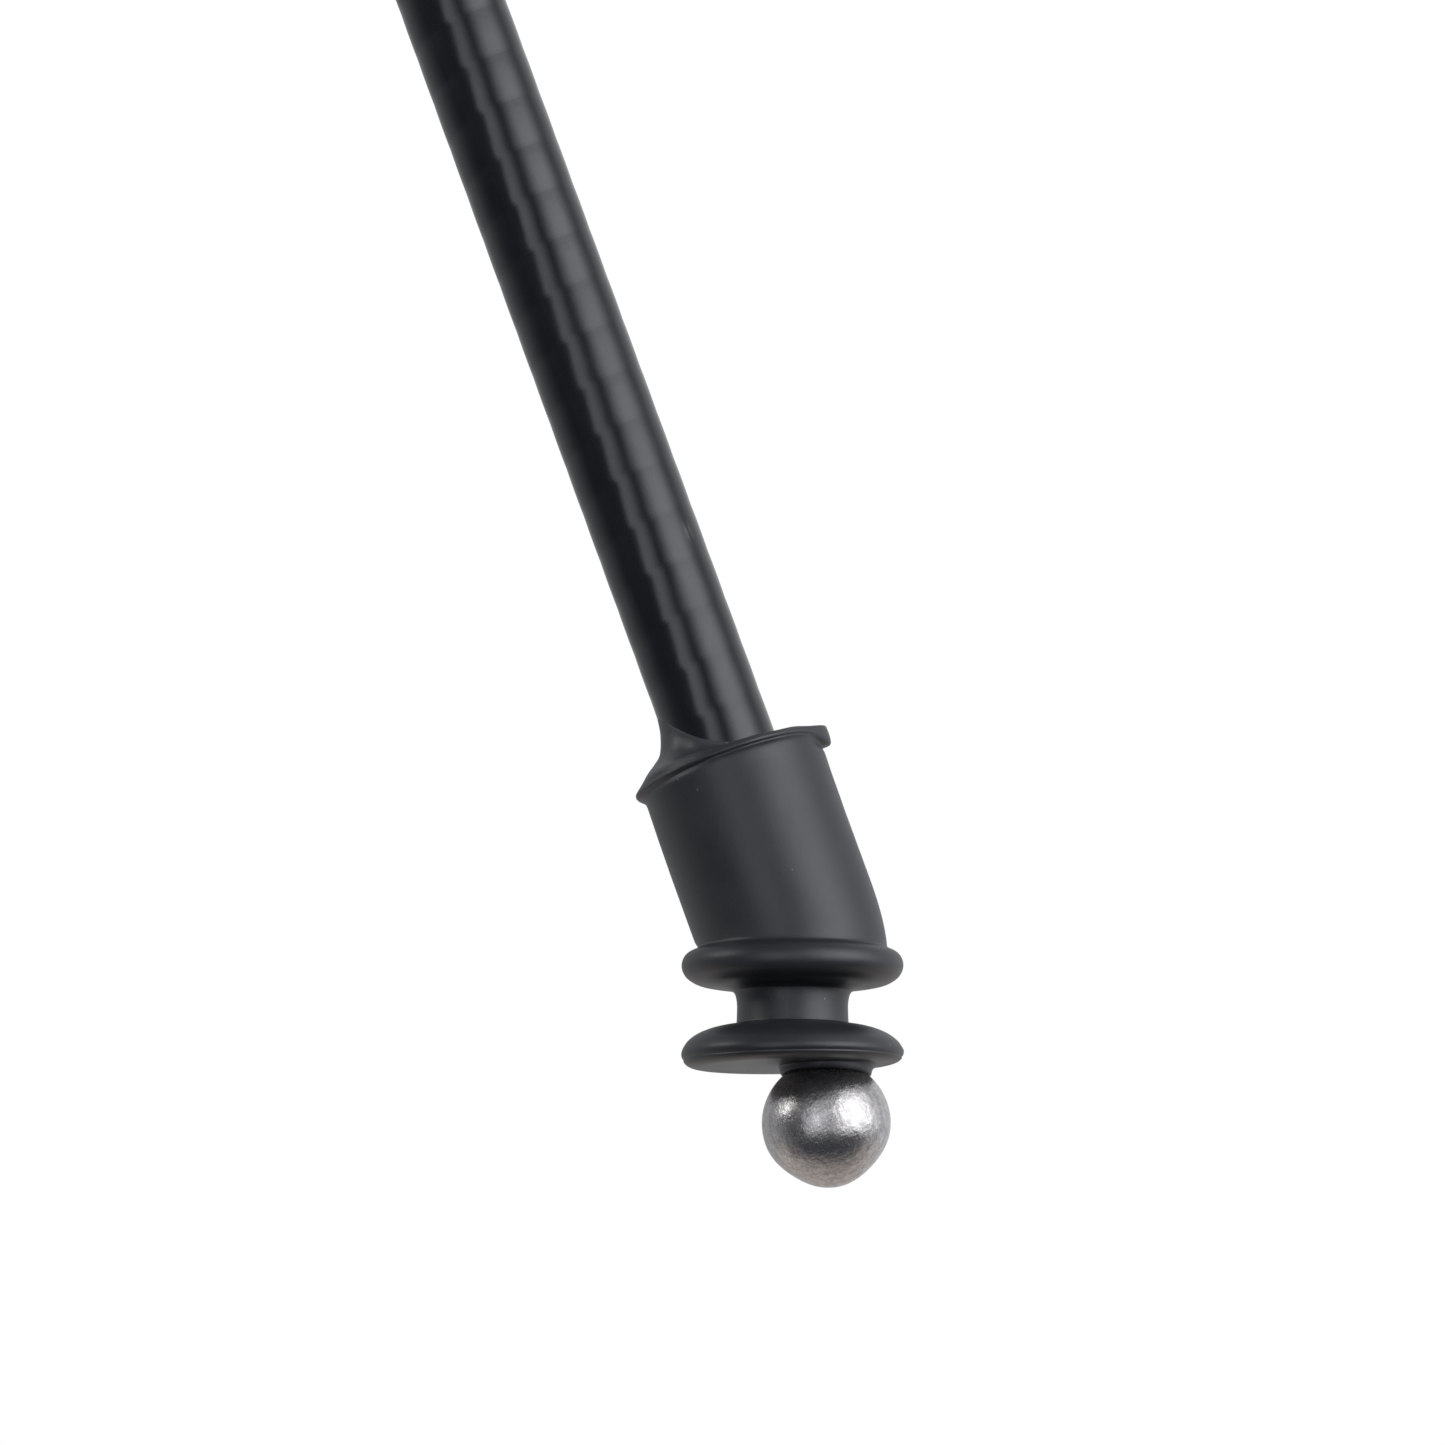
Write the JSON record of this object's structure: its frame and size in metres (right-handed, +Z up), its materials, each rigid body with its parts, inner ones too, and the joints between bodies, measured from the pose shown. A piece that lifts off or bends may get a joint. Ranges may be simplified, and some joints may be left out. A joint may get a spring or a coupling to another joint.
{
  "type": "long cane",
  "caption": "Black telescoping long cane for a blind walker, with a rubber tip on a flexible neck and a steel ball.",
  "frame": {"origin": "middle of the hand grip, on the shaft's axis", "axes": "+Z up the shaft towards the grip's end; the tip leans from the shaft towards -X, in the XZ plane"},
  "size_m": [0.0308, 0.027, 1.1894],
  "materials": {
    "carbon": "gloss black lacquer over tape-wound carbon fibre",
    "boot_rubber": "satin black moulded rubber",
    "ball_steel": "worn bare steel, scratched and pitted",
    "zinc_steel": "zinc-plated steel",
    "black_plastic": "fine-grained black moulded plastic",
    "grey_plastic": "natural grey nylon",
    "anodised": "black anodised aluminium",
    "aluminium": "turned aluminium",
    "grip_rubber": "black grip rubber with moulded grooves",
    "wiper_felt": "soft black elastomer"
  },
  "bodies": {
    "lower_section": {"lower_tube": "carbon", "tube_end_plug": "grey_plastic", "boot": "boot_rubber", "boot_washer": "zinc_steel", "lower_lock_spindle": "aluminium", "lower_lock_screw": "zinc_steel"},
    "neck_middle": {"neck": "boot_rubber"},
    "foot_and_ball": {"foot": "boot_rubber", "ball_anchor": "zinc_steel", "ball": "ball_steel"},
    "lower_lock": {"lower_lock_plug": "grey_plastic"},
    "lower_lock_cone": {"lower_lock_cone": "black_plastic"},
    "middle_section": {"middle_tube": "carbon", "lower_collar": "black_plastic", "lower_wiper": "wiper_felt", "upper_lock_spindle": "aluminium", "upper_lock_screw": "zinc_steel"},
    "upper_lock": {"upper_lock_plug": "grey_plastic"},
    "upper_lock_cone": {"upper_lock_cone": "black_plastic"},
    "upper_section": {"upper_tube": "carbon", "upper_collar": "black_plastic", "upper_wiper": "wiper_felt", "grip": "grip_rubber", "grip_ring": "anodised", "end_cap": "grip_rubber"}
  },
  "joints": [
    {"name": "neck_side_flex", "type": "hinge", "parent": "lower_section", "child": "neck_middle", "pos_m": [-0.00291, 0, -1.03809], "axis": [0, 1, 0], "range_deg": [-15, 15], "stiffness_Nm_per_rad": 0.85, "deforming": ["neck"]},
    {"name": "neck_front_flex", "type": "hinge", "parent": "neck_middle", "child": "foot_and_ball", "pos_m": [-0.00291, 0, -1.03809], "axis": [0.9409, 0, -0.3387], "range_deg": [-15, 15], "stiffness_Nm_per_rad": 0.85, "deforming": ["neck"]},
    {"name": "lower_twist", "type": "hinge", "parent": "lower_section", "child": "lower_lock", "pos_m": [0, 0, -0.625], "axis": [0, 0, 1], "range_deg": [0, 180]},
    {"name": "lower_cone_travel", "type": "slide", "parent": "lower_lock", "child": "lower_lock_cone", "axis": [0, 0, 1], "range_m": [0, 0.00101]},
    {"name": "lower_slide", "type": "slide", "parent": "lower_lock", "child": "middle_section", "axis": [0, 0, 1], "range_m": [-0.29, 0]},
    {"name": "upper_twist", "type": "hinge", "parent": "middle_section", "child": "upper_lock", "pos_m": [0, 0, -0.255], "axis": [0, 0, 1], "range_deg": [0, 180]},
    {"name": "upper_cone_travel", "type": "slide", "parent": "upper_lock", "child": "upper_lock_cone", "axis": [0, 0, 1], "range_m": [0, 0.00101]},
    {"name": "upper_slide", "type": "slide", "parent": "upper_lock", "child": "upper_section", "axis": [0, 0, 1], "range_m": [-0.31, 0]}
  ],
  "couplings": [
    {"joint": "lower_cone_travel", "follows": "lower_twist", "m_per_rad": 0.00031831},
    {"joint": "upper_cone_travel", "follows": "upper_twist", "m_per_rad": 0.00031831}
  ]
}
